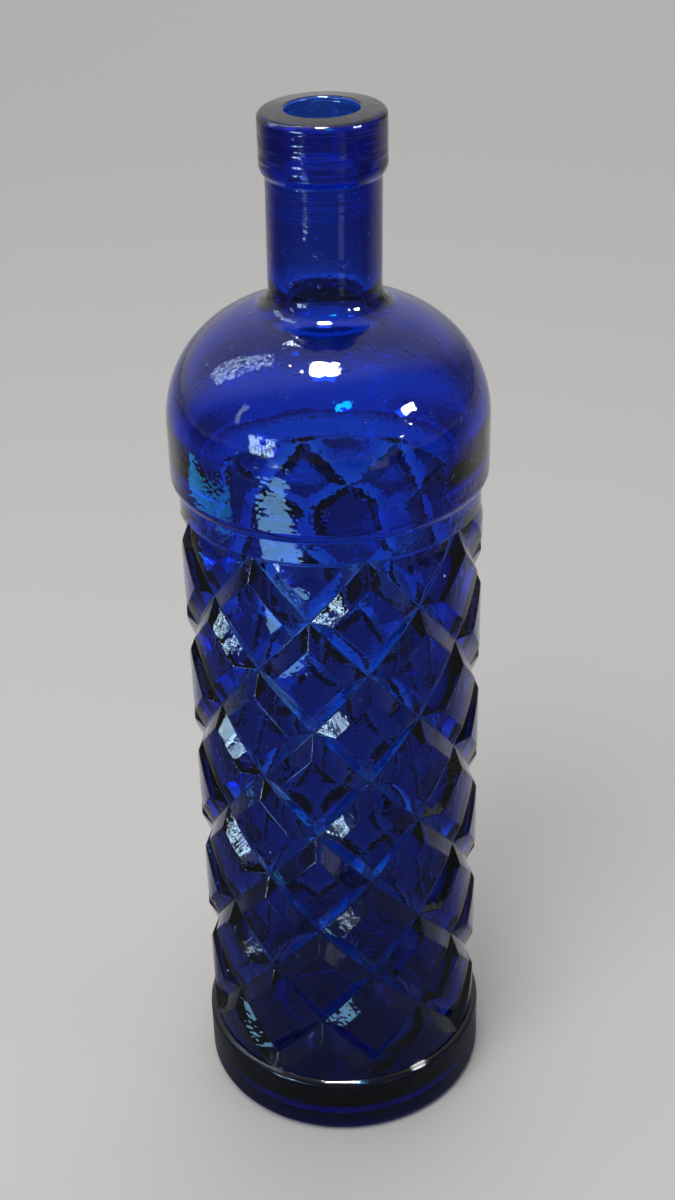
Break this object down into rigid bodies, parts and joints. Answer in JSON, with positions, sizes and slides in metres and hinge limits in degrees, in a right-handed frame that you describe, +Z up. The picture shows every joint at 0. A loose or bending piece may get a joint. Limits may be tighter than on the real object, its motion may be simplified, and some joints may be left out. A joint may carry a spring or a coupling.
{
  "type": "glass bottle",
  "caption": "Tall round glass bottle with a cork mouth, thick collar lip, domed shoulder, diamond lattice body and smooth base ring.",
  "frame": {"origin": "centre of the circle that the base stands on, at the bottom of the bottle", "axes": "+Z up along the bottle's axis, out of the mouth; -Y is the front, where a column of groove crossings lies"},
  "size_m": [0.0858, 0.0858, 0.3008],
  "materials": {
    "cobalt_glass": "glossy moulded cobalt glass"
  },
  "bodies": {
    "root": {"base": "cobalt_glass", "diamond_body": "cobalt_glass", "upper_band": "cobalt_glass", "shoulder": "cobalt_glass", "neck": "cobalt_glass", "lip_finish": "cobalt_glass"}
  },
  "joints": []
}
